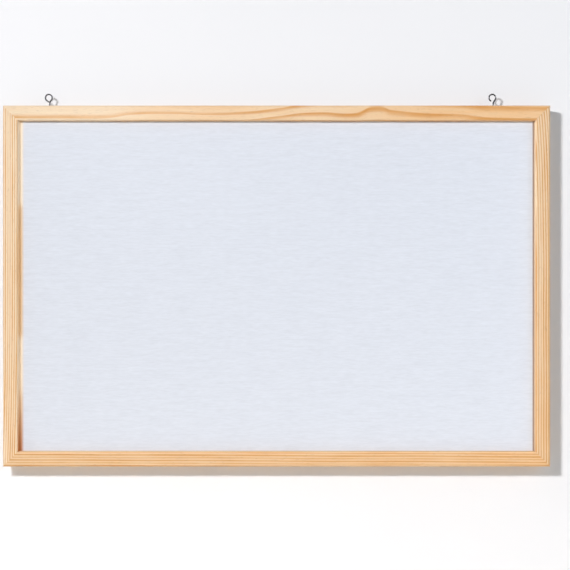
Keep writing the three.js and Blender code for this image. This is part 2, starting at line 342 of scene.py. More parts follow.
# Where grain and sanding start from rail to rail, and how rings, fibres and ducts lie in the wood.
SEED_STEP = 7.3
SANDING_SEED_STEP = 3.7
RINGS_AHEAD = 40.5
RING_WANDER = 0.6 * MM
FLAME_START = -80 * MM
FIBRE_SCALES = (45.0, 1500.0)
DUCT_SCALES = (190.0, 3200.0)
DUCT_BROWN = srgb(150, 96, 52)
RAW_PINE = srgb(214, 184, 146)
# How dim the painted reflection of the left rail's sight edge is on the lacquer, its streaks along X and Z,
# and the hardboard's print.
PAINTED_REFLECTION_DIM = 0.76
LONG_STREAKS = (34.0, 260.0)
SHORT_STREAKS = (120.0, 620.0)
MESH_PRINT_PITCH = 1.6 * MM


def rail_reach(side, sizes):
    """A rail's length, and how far its outer edge lies from the frame's middle."""
    if side in LEVEL:
        return sizes.width, sizes.height / 2
    return sizes.height, sizes.width / 2


def middle_height(sizes):
    return OUTER_EDGES["top"] - sizes.height / 2


def drawn(way, points, low=0.0, high=1.0):
    """A value drawn as a curve along a rail, through points given as a place in millimetres and a value."""
    curve = put("ShaderNodeFloatCurve", {"Value": way})
    handles = curve.mapping.curves[0].points
    start, end = points[0][0], points[-1][0]
    spots = [((place - start) / (end - start), (value - low) / (high - low)) for place, value in points]
    handles[0].location = spots[0]
    handles[-1].location = spots[-1]
    for spot in spots[1:-1]:
        handles.new(*spot)
    curve.mapping.update()
    return ramp(Output(curve.outputs[0]), 0.0, 1.0, low, high, "LINEAR")


def edge_stain(way, side, finish, dim=1.0):
    """Painted light and shade on a rail's sight edge, and its painted reflection on the sheet beside it:
    cream and amber where the edge is painted lit, brown where it is painted in shade, by its place.
    """
    tint, dark, warm = PINE_CUTS[side]["painted_light"][1:]
    pale = mix(drawn(way, warm), finish.sight_cream, toned(finish.sight_glow, dim))
    return mix(drawn(way, dark), pale, toned(getattr(finish, tint), dim))


def pine_material(side, sizes, finish):
    """Pine as a solid pattern of growth rings and fibres along the rail: face, edge and back agree."""
    cut = PINE_CUTS[side]
    material, shader, place = new_material(f"Pine {side} rail", finish.pine_roughness, specular=0.35)
    x, y, z = split(place)
    along, across = (x, z) if side in LEVEL else (z, x)
    half_length = rail_reach(side, sizes)[0] / 2
    run = along - (0.0 if side in LEVEL else middle_height(sizes))
    way = ramp(run, -half_length, half_length, shape="LINEAR")
    seed = SIDES.index(side) * SEED_STEP

    # The rings are counted across the grain and into the depth, and wander a little along the rail.
    drift = noise(vector(run + seed, across * 6.0), 9.0, 1.0)
    wander = ramp(drift, 0.0, 1.0, -RING_WANDER, RING_WANDER, "LINEAR")
    line = drawn(way, cut["line"], -24, 6) * MM
    spacing = drawn(way, cut["spacing"], 0, 16) * MM
    offset = across - line + wander
    depth = (y + sizes.rail_depth) / (cut["deep"] * MM)
    phase = offset / spacing + depth + RINGS_AHEAD
    in_ring = phase.calc("FRACT")
    odds = take("ShaderNodeTexWhiteNoise", {"W": phase.calc("FLOOR") + seed}, noise_dimensions="1D")
    # Late wood comes up and ends within each ring, broad where the cut is a flame, and uneven in strength.
    if "flame" in cut:
        rise = ramp(in_ring, ramp(run, FLAME_START, 0.0, 0.4, 0.0), 0.5)
        fall = ramp(in_ring, 0.5, ramp(run, FLAME_START, 0.0, 0.85, 0.64), 1.0, 0.0)
    else:
        rise = ramp(in_ring, 0.15, 0.6)
        fall = ramp(in_ring, 0.66, 0.9, 1.0, 0.0)
    patches = noise(vector(run + seed, across * 12.0), 16.0)
    strength = ramp(odds, 0.0, 1.0, *cut["contrast"]) + ramp(patches, 0.3, 0.7, -0.2, 0.15)
    late = rise * fall * strength

    # Fibres and resin ducts are long and thin, and follow the grain.
    lengthwise, crosswise = FIBRE_SCALES
    fibre = noise(vector(along * lengthwise, offset * crosswise, y * crosswise), 1.0, 3.0, 0.6)
    lengthwise, crosswise = DUCT_SCALES
    ducts = ramp(noise(vector(along * lengthwise, offset * crosswise, y * crosswise), 1.0, 0.0), 0.73, 0.8)

    # The colour goes from pale to deep along the rail, and from ring to ring. The paler wood towards the
    # frame's upper left is partly the wood's own tone and partly painted light from the lit side.
    stray = ramp(patches, 0.2, 0.8, -0.12, 0.12) + ramp(odds, 0.0, 1.0, -0.08, 0.08)
    early = mix(drawn(way, cut["tone"]) + stray, finish.pine_pale, finish.pine_deep)
    hard = mix(drawn(way, cut["growth"], 0.0, 1.2) + stray, finish.growth_pale, finish.growth_deep)
    colour = mix(late, early, hard)
    # The cut's shade darkens the whole rail: painted shade, which makes the right and bottom rails darker.
    grain = ramp(fibre, 0.25, 0.75, 0.93 * cut["shade"], 1.05 * cut["shade"], "LINEAR")
    colour = mix(1.0, colour, vector(grain, grain, grain), "MULTIPLY")
    colour = mix(ducts * 0.35, colour, DUCT_BROWN)

    # The back is left raw, and the sight edge, from the front down to the lip's rear, gets painted light
    # and shade.
    raw = ramp(y, -1.2 * MM, -0.3 * MM)
    colour = mix(raw * 0.5, colour, RAW_PINE)
    if "painted_light" in cut:
        front, lip_rear = -sizes.rail_depth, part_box("steel_sheet")[0].y
        inward = (across - OUTER_EDGES[side]).calc("ABSOLUTE")
        sight = ramp(y, front + 0.6 * MM, front + 2 * MM) * ramp(y, lip_rear, lip_rear + 0.3 * MM, 1.0, 0.0)
        sight *= ramp(inward, 0.5 * sizes.rail_face, 0.8 * sizes.rail_face)
        colour = mix(sight * cut["painted_light"][0], colour, edge_stain(way, side, finish))
    sheen = ramp(fibre, 0.2, 0.8, -0.05, 0.06) + finish.pine_roughness + raw * 0.35 - late * 0.06
    dress(shader, colour, sheen, fibre * 0.7 + late * 0.5, 0.06 * MM, 0.6)
    return material


def sheet_material(finish):
    """White lacquer with faint level streaks and a slight orange peel; beside the side rails, a painted
    reflection of the left rail's sight edge and a painted shade line by the right rail.
    """
    material, shader, place = new_material("White lacquer", finish.sheet_roughness, specular=0.35)
    x, y, z = split(place)
    long_streaks = noise(vector(x * LONG_STREAKS[0], z * LONG_STREAKS[1]), 1.0, 3.0, 0.6)
    short_streaks = noise(vector(x * SHORT_STREAKS[0], z * SHORT_STREAKS[1], 3.0), 1.0)
    streaks = long_streaks * 0.5 + short_streaks * 0.5
    dim = toned(finish.sheet_colour, 1 - finish.sheet_streaks)
    bright = toned(finish.sheet_colour, 1 + finish.sheet_streaks)
    colour = mix(ramp(streaks, 0.3, 0.7, shape="LINEAR"), dim, bright)
    # Painted reflection of the left rail's sight edge, in its painted light and shade, on the lacquer
    # beside it.
    low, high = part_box("rail_left")
    painted_light = edge_stain(ramp(z, low.z, high.z, shape="LINEAR"), "left", finish, PAINTED_REFLECTION_DIM)
    colour = mix(ramp(x, high.x + 1.2 * MM, high.x + 5.2 * MM, 0.95, 0.0), colour, painted_light)
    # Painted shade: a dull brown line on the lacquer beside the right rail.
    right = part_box("rail_right")[0].x
    colour = mix(ramp(x, right - 2.6 * MM, right - 1.1 * MM, 0.0, 0.8), colour, finish.edge_shade)
    sheen = ramp(streaks, 0.25, 0.75, finish.sheet_roughness - 0.03, finish.sheet_roughness + 0.05)
    dress(shader, colour, sheen, noise(place, 420.0, 1.0) + streaks * 0.5, 0.02 * MM, 0.4)
    return material


def fibreboard_material(name, colour, imprint):
    """Pressed wood fibre, and on the back of hardboard the print of the wire mesh it was pressed on."""
    material, shader, place = new_material(name, 0.78, specular=0.3)
    strands = noise(place, 900.0, 4.0, 0.7)
    lumps = strands * 0.6 + noise(place, 14.0, 3.0, 0.6) * 0.4
    height = strands
    if imprint:
        x, y, z = split(place)
        turns = 2 * math.pi / MESH_PRINT_PITCH
        warp, weft = ((axis * turns).calc("SINE").calc("ABSOLUTE") for axis in (x, z))
        height = strands * 0.5 + warp.calc("MINIMUM", weft) * imprint
    colour = mix(ramp(lumps, 0.3, 0.7), toned(colour, 0.72), toned(colour, 1.3))
    dress(shader, colour, None, height, 0.15 * MM, 0.7)
    return material


def metal_material(name, colour, roughness, scratches):
    """Plated or blued steel wire and strip, with fine drawing marks and cloudy plating."""
    material, shader, place = new_material(name, roughness, metallic=1.0)
    x, y, z = split(place)
    marks = noise(vector(x, y, z * 0.12), scratches)
    colour = mix(ramp(noise(place, 700.0), 0.3, 0.7), toned(colour, 0.8), toned(colour, 1.12))
    dress(shader, colour, ramp(marks, 0.3, 0.7, -0.06, 0.08) + roughness, marks, 0.01 * MM, 0.5)
    return material


def seen_rays(tree):
    """1 for what the camera sees, straight, and 1 for what it sees through gloss and glass."""
    rays = put("ShaderNodeLightPath", tree=tree).outputs
    kinds = ("Camera", "Glossy", "Transmission")
    straight, gloss, glass = (Output(rays[f"Is {kind} Ray"]) for kind in kinds)
    return straight, gloss.calc("MAXIMUM", glass)


def stage_material(name, colour, roughness, painted_glow=(0.0, 0.0, 0.0)):
    """Paint on a wall or floor, clear from behind so that the board's back and underside can be seen."""
    material, shader, place = new_material(name, roughness, specular=0.2)
    tree = material.node_tree
    # Painted shade: the paint darkens towards the right, over a faint random cloud.
    dim = noise(place, 3.0) * 0.1 + ramp(split(place)[0], -0.3, 0.35, shape="LINEAR")
    feed(shader.inputs["Base Color"], mix(dim, colour, toned(colour, 0.9)))
    # Painted glow: the wall gives off a faint blue to the camera and in gloss, which lifts its shadows.
    shader.inputs["Emission Color"].default_value = (*painted_glow, 1.0)
    straight, mirrored = seen_rays(tree)
    feed(shader.inputs["Emission Strength"], straight.calc("MAXIMUM", mirrored))
    clear = take("ShaderNodeBsdfTransparent", tree=tree)
    behind = take("ShaderNodeNewGeometry", key="Backfacing", tree=tree)
    both = take("ShaderNodeMixShader", {0: behind, 1: Output(shader.outputs[0]), 2: clear})
    feed(tree.nodes["Material Output"].inputs["Surface"], both)
    return material


def linked_object(name, data):
    made = bpy.data.objects.new(name, data)
    bpy.context.scene.collection.objects.link(made)
    return made


def mesh_object(name, shape):
    """An object from a bmesh, which is freed."""
    data = bpy.data.meshes.new(name)
    shape.to_mesh(data)
    shape.free()
    return linked_object(name, data)


def line_object(name, points, cyclic=False):
    """A curve object that holds one straight-jointed line, for a node tree to read."""
    data = bpy.data.curves.new(name, "CURVE")
    data.dimensions = "3D"
    spline = data.splines.new("POLY")
    spline.points.add(len(points) - 1)
    for spot, place in zip(spline.points, points):
        spot.co = (*place, 1.0)
    spline.use_cyclic_u = cyclic
    return linked_object(name, data)


def mount_piece(piece, body, nodes):
    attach(piece, body)
    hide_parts(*nodes)


def geometry(kind, *feeds_and_key, **settings):
    """One output of a new geometry node."""
    return take(f"GeometryNode{kind}", *feeds_and_key, **settings)


def object_shape(given, name):
    return geometry("ObjectInfo", {"Object": given[name]}, "Geometry")


def swept(path, profile, scale=1.0):
    feeds = {"Curve": path, "Profile Curve": profile, "Scale": scale, "Fill Caps": True}
    return geometry("CurveToMesh", feeds)


SOCKET_KINDS = {"float": "Float", "int": "Int", "tuple": "Vector"}
# The angle in degrees from which an edge is shaded sharp.
WOOD_CREASE = 28
STEEL_CREASE = 32
WIRE_CREASE = 50


def new_tree(name, values, build, crease):
    """A node tree with an input for each value, that gives the mesh from build its shading and material."""
    tree = bpy.data.node_groups.new(name, "GeometryNodeTree")
    face = tree.interface
    face.new_socket(name="Geometry", in_out="OUTPUT", socket_type="NodeSocketGeometry")
    for label, value in values.items():
        kind = type(value).__name__
        socket_type = f"NodeSocket{SOCKET_KINDS.get(kind, kind)}"
        socket = face.new_socket(name=label, in_out="INPUT", socket_type=socket_type)
        if kind in SOCKET_KINDS:
            socket.default_value = value
    given = {socket.name: Output(socket) for socket in tree.nodes.new("NodeGroupInput").outputs}
    real = geometry("RealizeInstances", {"Geometry": build(given)})
    smooth = geometry("SetShadeSmooth", {"Geometry": real, "Shade Smooth": True})
    angle = geometry("InputMeshEdgeAngle", key="Unsigned Angle", tree=tree)
    gentle = take("FunctionNodeCompare", {0: angle, 1: math.radians(crease)}, operation="LESS_THAN")
    edged = geometry("SetShadeSmooth", {"Geometry": smooth, "Shade Smooth": gentle}, domain="EDGE")
    put("NodeGroupOutput", {0: geometry("SetMaterial", {"Geometry": edged, "Material": given["Material"]})})
    return tree


def run_tree(name, tree_name, build, crease, values):
    """The mesh that a node tree makes from these input values, as a plain piece. The tree is built once."""
    tree = bpy.data.node_groups.get(tree_name) or new_tree(tree_name, values, build, crease)
    source = linked_object(f"{name}_source", bpy.data.meshes.new(f"{name}_source"))
    modifier = source.modifiers.new(tree_name, "NODES")
    modifier.node_group = tree
    for item in tree.interface.items_tree:
        if item.in_out == "INPUT":
            modifier[item.identifier] = values[item.name]
    depsgraph = bpy.context.evaluated_depsgraph_get()
    depsgraph.update()
    data = bpy.data.meshes.new_from_object(source.evaluated_get(depsgraph), depsgraph=depsgraph)
    if not data.polygons:
        raise RuntimeError(f"{name} came out empty")
    bpy.data.objects.remove(source)
    data.name = name
    return linked_object(name, data)


def arc(centre, radius, start, end, count):
    """Points on an arc, from start to end in radians, both ends counted."""
    spots = []
    for i in range(count + 1):
        turn = start + (end - start) * i / count
        spots.append((centre[0] + radius * math.cos(turn), centre[1] + radius * math.sin(turn)))
    return spots


def rail_section(sizes):
    """The rail's section as points: distance from the wall, then distance in from the outer edge."""
    depth, face = sizes.rail_depth, sizes.rail_face
    lip_rear = -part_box("steel_sheet")[0].y
    strip = face - sizes.rebate_width
    outer, sight, back = sizes.outer_arris, sizes.sight_arris, sizes.back_arris
    spots = arc((back, back), back, math.pi, 1.5 * math.pi, 5)
    spots += arc((depth - outer, outer), outer, -QUARTER, 0.0, 12)
    spots += [(depth, outer + (face - sight - outer) * i / 6) for i in range(1, 6)]
    spots += arc((depth - sight, face - sight), sight, 0.0, QUARTER, 7)
    spots += [(lip_rear, face), (lip_rear, strip), (0.0, strip)]
    return [(a, b, 0.0) for a, b in spots]


def rail_shape(given):
    """Mitred rail: a section swept along the rail, its ends cut to the mitre, its front gently uneven."""
    half = given["Length"] * 0.5
    line = geometry("CurvePrimitiveLine", {"Start": vector(-half), "End": vector(half)})
    path = geometry("ResampleCurve", {"Curve": line, "Count": given["Steps"]})
    bar = swept(path, object_shape(given, "Section"))
    x, y, z = split(geometry("InputPosition", tree=half.tree))
    gap = given["Glue Line"] * math.sqrt(0.5)
    sheared = x / half * (half + z - gap)
    waves = noise(vector(sheared + given["Seed"], y, z), 24.0)
    stray = (waves - 0.4) * given["Sanding"] * ramp(y, -14 * MM, -17 * MM)
    mitred = geometry("SetPosition", {"Geometry": bar, "Position": vector(sheared, y + stray, z)})
    feeds = {"Geometry": mitred, "Rotation": given["Turn"], "Translation": given["Place"]}
    feeds = {"Mesh 1": geometry("Transform", feeds), "Mesh 2": object_shape(given, "Pockets")}
    return geometry("MeshBoolean", feeds, operation="DIFFERENCE", solver="EXACT")


def nail_spots(sizes, hardware):
    """Where each V-nail's fold lies, and how it is turned, for the eight nails."""
    spots = []
    for side_x, side_z in ((-1, 1), (1, 1), (1, -1), (-1, -1)):
        for share in (hardware.nail_outer, hardware.nail_inner):
            inward = share * (sizes.rail_face - sizes.rebate_width)
            across = side_x * (sizes.width / 2 - inward)
            up = middle_height(sizes) + side_z * (sizes.height / 2 - inward)
            spots.append((Vector((across, 0.0, up)), math.atan2(side_z, -side_x)))
    return spots


def point_spots(sizes, hardware):
    """Where each flat point crosses the rebate wall, and how it is turned."""
    strip = sizes.rail_face - sizes.rebate_width
    centre = Vector((0.0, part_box("backing_board")[1].y, middle_height(sizes)))
    spots = []
    for side in SIDES:
        length, out = rail_reach(side, sizes)
        gaps = 3 if side in LEVEL else 2
        for i in range(gaps + 1):
            along = (length - 2 * hardware.point_inset) * (i / gaps - 0.5)
            place = Matrix.Rotation(TURNS[side], 4, "Y") @ Vector((along, 0.0, out - strip))
            spots.append((place + centre, TURNS[side]))
    return spots


def prism(shape, outline, low, high, place, turn):
    """A closed prism over an outline in X and Z, from one Y to another, turned about Y and put in place."""
    swing = Matrix.Translation(place) @ Matrix.Rotation(turn, 4, "Y")
    rings = [[shape.verts.new(swing @ Vector((a, y, b))) for a, b in outline] for y in (low, high)]
    faces = [shape.faces.new(rings[0]), shape.faces.new(rings[1][::-1])]
    for i in range(len(outline)):
        j = (i + 1) % len(outline)
        faces.append(shape.faces.new((rings[0][j], rings[0][i], rings[1][i], rings[1][j])))
    bmesh.ops.recalc_face_normals(shape, faces=faces)


def pocket_cutters(sizes, hardware):
    """What is cut out of the rails: the V-nails' pockets, the points' slots and the eyes' pilot holes."""
    shape = bmesh.new()
    over = 1 * MM
    room = hardware.nail_clearance
    reach = hardware.nail_spread / 2 + room
    slope = hardware.nail_spread / 2 / hardware.nail_rise
    wall = (hardware.nail_thickness / 2 + room) * math.hypot(1, 1 / slope)
    back = reach / slope
    vee = [(wall, 0.0), (wall - back, reach), (-wall - back, reach), (-wall, 0.0), (-wall - back, -reach),
           (wall - back, -reach)]
    deep = hardware.nail_recess + hardware.nail_height + room
    for place, turn in nail_spots(sizes, hardware):
        prism(shape, vee, -deep, over, place, turn)
    room = hardware.point_clearance
    half = hardware.point_width / 2 + room
    bite = hardware.point_bite + room
    slot = [(-half, -over), (half, -over), (half, bite), (-half, bite)]
    for place, turn in point_spots(sizes, hardware):
        prism(shape, slot, -room, hardware.point_thickness + room, place, turn)
    room = hardware.pilot_clearance
    radius = hardware.wire / 2 + room
    deep = hardware.bite + room
    for joint in frame["joints"]:
        spot = Vector(joint["pos_m"]) + Vector((0.0, 0.0, (over - deep) / 2))
        bmesh.ops.create_cone(
            shape, cap_ends=True, segments=32, radius1=radius, radius2=radius, depth=deep + over,
            matrix=Matrix.Translation(spot))
    return mesh_object("rail_pockets", shape)


class WHITEBOARD_OT_rails(bpy.types.Operator):
    """Build the four mitred pine rails with their rebate, nail pockets and pilot holes"""

    bl_idname = "whiteboard.rails"
    bl_label = "Pine Rails"

    def execute(self, context):
        sizes = context.scene.whiteboard_sizes
        section = line_object("rail_section", rail_section(sizes), cyclic=True)
        pockets = pocket_cutters(sizes, context.scene.whiteboard_hardware)
        middle = middle_height(sizes)
        for side in SIDES:
            length, out = rail_reach(side, sizes)
            turn = TURNS[side]
            rail = run_tree(f"pine_rail_{side}", "Mitred Rail", rail_shape, WOOD_CREASE, {
                "Section": section, "Pockets": pockets, "Length": length, "Steps": int(length / (5 * MM)),
                "Glue Line": sizes.glue_line, "Sanding": sizes.sanding,
                "Seed": SIDES.index(side) * SANDING_SEED_STEP, "Turn": (0.0, turn, 0.0),
                "Place": (out * math.sin(turn), 0.0, middle + out * math.cos(turn)),
                "Material": pine_material(side, sizes, context.scene.whiteboard_finish)})
            mount_piece(rail, "board", [f"rail_{side}"])
        bpy.data.objects.remove(section)
        bpy.data.objects.remove(pockets)
        return {"FINISHED"}


def ease_rims(shape, rims, offset):
    bmesh.ops.bevel(shape, geom=rims, offset=offset, segments=2, profile=0.5, affect="EDGES")


def layer_slab(name, node, material, swell, cells):
    """A board in the rebate: a fine slab with eased edges, its two faces straying together from flat."""
    low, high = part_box(node)
    shape = bmesh.new()
    bmesh.ops.create_grid(shape, x_segments=cells[0], y_segments=cells[1], size=0.5)
    size = high - low
    middle = (low + high) / 2
    for vert in shape.verts:
        a, b = vert.co.x, vert.co.y
        edge = min(1.0, 12 * (0.5 - abs(a)), 12 * (0.5 - abs(b)))
        wave = math.sin(9.1 * a + 1.3) * math.cos(6.7 * b - 0.4)
        wave += 0.5 * math.sin(17.3 * a * b + 5.9 * b + 2.1)
        vert.co = Vector((middle.x + a * size.x, low.y + swell * edge * wave / 1.5, middle.z + b * size.z))
    rear = bmesh.ops.duplicate(shape, geom=shape.faces[:])["geom"]
    rear_verts = [g for g in rear if isinstance(g, bmesh.types.BMVert)]
    rear_faces = [g for g in rear if isinstance(g, bmesh.types.BMFace)]
    bmesh.ops.translate(shape, verts=rear_verts, vec=(0.0, size.y, 0.0))
    bmesh.ops.reverse_faces(shape, faces=rear_faces)
    bmesh.ops.bridge_loops(shape, edges=[e for e in shape.edges if e.is_boundary])
    bmesh.ops.recalc_face_normals(shape, faces=shape.faces[:])
    ease_rims(shape, [e for e in shape.edges if e.calc_face_angle(0.0) > 1.0], min(0.2 * MM, size.y / 4))
    for face in shape.faces:
        face.smooth = abs(face.normal.y) > 0.9
    piece = mesh_object(name, shape)
    piece.data.materials.append(material)
    return piece


class WHITEBOARD_OT_panel(bpy.types.Operator):
    """Build the lacquered steel sheet, the core board and the hardboard backing"""

    bl_idname = "whiteboard.panel"
    bl_label = "Writing Panel"

    def execute(self, context):
        finish = context.scene.whiteboard_finish
        waviness = context.scene.whiteboard_sizes.waviness
        lacquer = sheet_material(finish)
        core = fibreboard_material("Fibreboard", finish.core_colour, 0.0)
        back = fibreboard_material("Hardboard", finish.board_colour, 0.8)
        for name, node, slot, *build in (
                ("lacquered_steel_sheet", "steel_sheet", "white_lacquer", lacquer, waviness, (120, 80)),
                ("fibre_core", "core_board", "fibreboard", core, 0.0, (24, 16)),
                ("hardboard_backing", "backing_board", "hardboard", back, 0.0, (48, 32))):
            mount_piece(layer_slab(name, node, *build), "board", [node])
        return {"FINISHED"}


def on_spots(given, shape):
    """Sets one shape on each spot of a point mesh, turned about Y as the spot's own turn says."""
    points = geometry("MeshToPoints", {"Mesh": object_shape(given, "Spots")})
    turn = geometry("InputNamedAttribute", {"Name": "turn"}, tree=points.tree, data_type="FLOAT")
    swing = take("FunctionNodeAxisAngleToRotation", {"Axis": (0.0, 1.0, 0.0), "Angle": turn})
    return geometry("InstanceOnPoints", {"Points": points, "Instance": shape, "Rotation": swing})


def mount_fasteners(kind, tree_name, build, spots, values):
    """Sets a fastener on each of its spots, as one piece that takes the place of all nodes of its kind."""
    data = bpy.data.meshes.new(f"{kind}_spots")
    data.from_pydata([tuple(place) for place, turn in spots], [], [])
    turns = data.attributes.new("turn", "FLOAT", "POINT")
    turns.data.foreach_set("value", [turn for place, turn in spots])
    points = linked_object(data.name, data)
    piece = run_tree(f"{kind}s", tree_name, build, STEEL_CREASE, {"Spots": points, **values})
    bpy.data.objects.remove(points)
    mount_piece(piece, "board", [n for n in frame["nodes"] if n.startswith(f"{kind}_")])


def nail_shapes(given):
    """V-nails: a strip folded to a V, thick at the back and drawn to a cutting edge at the front."""
    half = given["Spread"] * 0.5
    behind = -given["Rise"]
    feeds = {"Resolution": 3, "Start": vector(behind, -half), "Middle": (0.0, 0.0, 0.0),
             "End": vector(behind, half)}
    bent = geometry("CurveArc", feeds, mode="POINTS")
    fold = geometry("FilletCurve", {"Curve": bent, "Count": 5, "Radius": given["Fold"]}, mode="POLY")
    level = geometry("SetCurveNormal", {"Curve": fold}, mode="Z_UP")
    thick = given["Thickness"] * 0.5
    sharp = given["Thickness"] * 0.12
    rear = -given["Recess"]
    tip = rear - given["Height"]
    corners = (vector(-thick, rear), vector(thick, rear), vector(sharp, tip), vector(-sharp, tip))
    feeds = {f"Point {i}": corner for i, corner in enumerate(corners, 1)}
    strip = geometry("CurvePrimitiveQuadrilateral", feeds, mode="POINTS")
    nail = geometry("Transform", {"Geometry": swept(level, strip), "Rotation": (QUARTER, 0.0, 0.0)})
    return on_spots(given, nail)


class WHITEBOARD_OT_corner_nails(bpy.types.Operator):
    """Press two V-nails across each mitre from behind"""

    bl_idname = "whiteboard.corner_nails"
    bl_label = "Corner Nails"

    def execute(self, context):
        hardware = context.scene.whiteboard_hardware
        colour = context.scene.whiteboard_finish.steel_colour
        spots = nail_spots(context.scene.whiteboard_sizes, hardware)
        names = ("Spread", "Rise", "Thickness", "Height", "Recess", "Fold")
        values = {name: getattr(hardware, f"nail_{name.lower()}") for name in names}
        values["Material"] = metal_material("Blued steel nails", colour, roughness=0.38, scratches=2600.0)
        mount_fasteners("corner_nail", "Corner Nails", nail_shapes, spots, values)
        return {"FINISHED"}


def flat_point_object(hardware):
    """One flat point: an arrow tip for the wood, and a tail with round corners that lies on the backing."""
    half = hardware.point_width / 2
    bite = hardware.point_bite
    heel = -hardware.point_reach
    corner = 2 * MM
    outline = [(half, bite / 2), (0.0, bite), (-half, bite / 2)]
    outline += arc((corner - half, heel + corner), corner, math.pi, 1.5 * math.pi, 7)
    outline += arc((half - corner, heel + corner), corner, 1.5 * math.pi, 2 * math.pi, 7)
    shape = bmesh.new()
    prism(shape, outline, 0.0, hardware.point_thickness, Vector(), 0.0)
    rims = [e for e in shape.edges if any(abs(f.normal.y) > 0.9 for f in e.link_faces)]
    ease_rims(shape, rims, 0.08 * MM)
    return mesh_object("flat_point", shape)


def point_shapes(given):
    return on_spots(given, object_shape(given, "Shape"))


class WHITEBOARD_OT_panel_points(bpy.types.Operator):
    """Drive the flat points that hold the panel in its rebate"""

    bl_idname = "whiteboard.panel_points"
    bl_label = "Panel Points"

    def execute(self, context):
        hardware = context.scene.whiteboard_hardware
        colour = context.scene.whiteboard_finish.steel_colour
        spots = point_spots(context.scene.whiteboard_sizes, hardware)
        flat = flat_point_object(hardware)
        mount_fasteners("panel_point", "Panel Points", point_shapes, spots, {
            "Shape": flat,
            "Material": metal_material("Blued steel points", colour, roughness=0.34, scratches=1800.0)})
        bpy.data.objects.remove(flat)
        return {"FINISHED"}


SHANK_STEPS = 12
BEND_STEPS = 8
RING_STEPS = 64
WIRE_SIDES = 24
EYE_STEPS = 220
THREAD_STEPS = 28
THREAD_SIDES = 4


def eye_line(hardware, gap):
    """The wire's middle line from the foot up the shank, out at the neck and round the ring to its end."""
    radius = (hardware.ring - hardware.wire) / 2
    drop = hardware.neck_drop * radius
    fork = math.asin(radius / drop)
    lean = hardware.lean

    def from_neck(distance, tilt):
        return Vector((distance * math.sin(tilt), 0.0, hardware.neck + distance * math.cos(tilt)))

    bend_start = from_neck(hardware.bend, math.pi)
    bend_end = from_neck(hardware.bend, fork - lean)
    neck = from_neck(0.0, 0.0)
    centre = from_neck(drop, -lean)
    foot = Vector((0.0, 0.0, -hardware.bite))
    line = [foot.lerp(bend_start, i / SHANK_STEPS) for i in range(SHANK_STEPS)]
    for i in range(BEND_STEPS + 1):
        t = i / BEND_STEPS
        line.append(bend_start * (1 - t) ** 2 + neck * 2 * t * (1 - t) + bend_end * t * t)
    ring = arc((centre.x, centre.z), radius, lean - fork, lean + fork + math.pi, RING_STEPS)
    line += [Vector((a, 0.0, b)) for a, b in ring]
    end = from_neck(hardware.wire / 2 + gap, -fork - lean)
    return [*line, line[-1].lerp(end, 0.5), end]


def unit_circle(tree, sides):
    return geometry("CurvePrimitiveCircle", {"Resolution": sides, "Radius": 1.0}, tree=tree)


def eye_shape(given):
    """Screw eye: wire swept along its line, drawn to a point at the foot, with a thread round its shank."""
    path = geometry("ResampleCurve", {"Curve": object_shape(given, "Line"), "Count": EYE_STEPS})
    tree = path.tree
    radius = given["Wire"] * 0.5
    above_foot = split(geometry("InputPosition", tree=tree))[2] + given["Bite"]
    taper = ramp(above_foot / given["Tip"], 0.0, 1.0, 0.2, 1.0, "LINEAR")
    way = geometry("SplineParameter", key="Factor", tree=tree)
    rounding = ramp(way, 0.99, 1.0, 1.0, 0.0, "LINEAR").calc("SQRT") * 0.3 + 0.7
    wire = swept(path, unit_circle(tree, WIRE_SIDES), taper * rounding * radius)

    long = given["Bite"] * 0.72
    helix = geometry("CurveSpiral", {
        "Resolution": THREAD_STEPS, "Rotations": long / given["Pitch"], "Start Radius": radius * 0.7,
        "End Radius": radius, "Height": long})
    thread = swept(helix, unit_circle(tree, THREAD_SIDES), given["Thread Rise"])
    drop = vector(0.0, 0.0, given["Bite"] * -0.88)
    thread = geometry("Transform", {"Geometry": thread, "Translation": drop})
    both = put("GeometryNodeJoinGeometry", {0: thread})
    feed(both.inputs[0], wire)
    return geometry("Transform", {"Geometry": Output(both.outputs[0]), "Translation": given["Place"]})


class WHITEBOARD_OT_screw_eyes(bpy.types.Operator):
    """Bend the two plated screw eyes and set them in the top rail"""

    bl_idname = "whiteboard.screw_eyes"
    bl_label = "Screw Eyes"

    def execute(self, context):
        hardware = context.scene.whiteboard_hardware
        colour = context.scene.whiteboard_finish.zinc_colour
        zinc = metal_material("Zinc plate", colour, roughness=0.3, scratches=3000.0)
        places = {joint["child"]: joint["pos_m"] for joint in frame["joints"]}
        for side in ("left", "right"):
            line = line_object("eye_line", eye_line(hardware, getattr(hardware, f"{side}_gap")))
            eye = run_tree(f"wire_eye_{side}", "Screw Eye", eye_shape, WIRE_CREASE, {
                "Line": line, "Wire": hardware.wire, "Bite": hardware.bite, "Tip": hardware.tip,
                "Pitch": hardware.thread_pitch, "Thread Rise": hardware.thread_rise,
                "Place": tuple(places[f"eye_{side}"]), "Material": zinc})
            mount_piece(eye, f"eye_{side}", [f"screw_eye_{side}"])
            bpy.data.objects.remove(line)
        return {"FINISHED"}


WALL_GAP = 0.3 * MM
ROOM_SIDE = 3.0
ROOM_TOP = 2.5
ROOM_REACH = 4.0
# Each lamp's place, aim, size, evenness and colour.
LAMPS = {
    "Key": ((-0.36, -0.62, 0.156), (-0.36, 0.0, 0.156), (0.15, 0.1), 1.8, WHITE),
    "Fill": ((1.5, -1.1, 0.35), (-0.1, 0.0, -0.2), (1.0, 1.0), 0.0, srgb(240, 247, 255)),
    "Side": ((-1.5, -0.45, 0.85), (0.0, 0.0, -0.2), (1.0, 1.0), 0.0, WHITE),
    "Low": ((0.0, -0.3, -0.62), (0.0, 0.0, -0.36), (1.0, 0.3), 0.0, srgb(255, 226, 190)),
    "Back": ((0.7, 1.5, 0.7), (0.0, 0.0, -0.2), (1.0, 1.0), 0.0, WHITE),
}


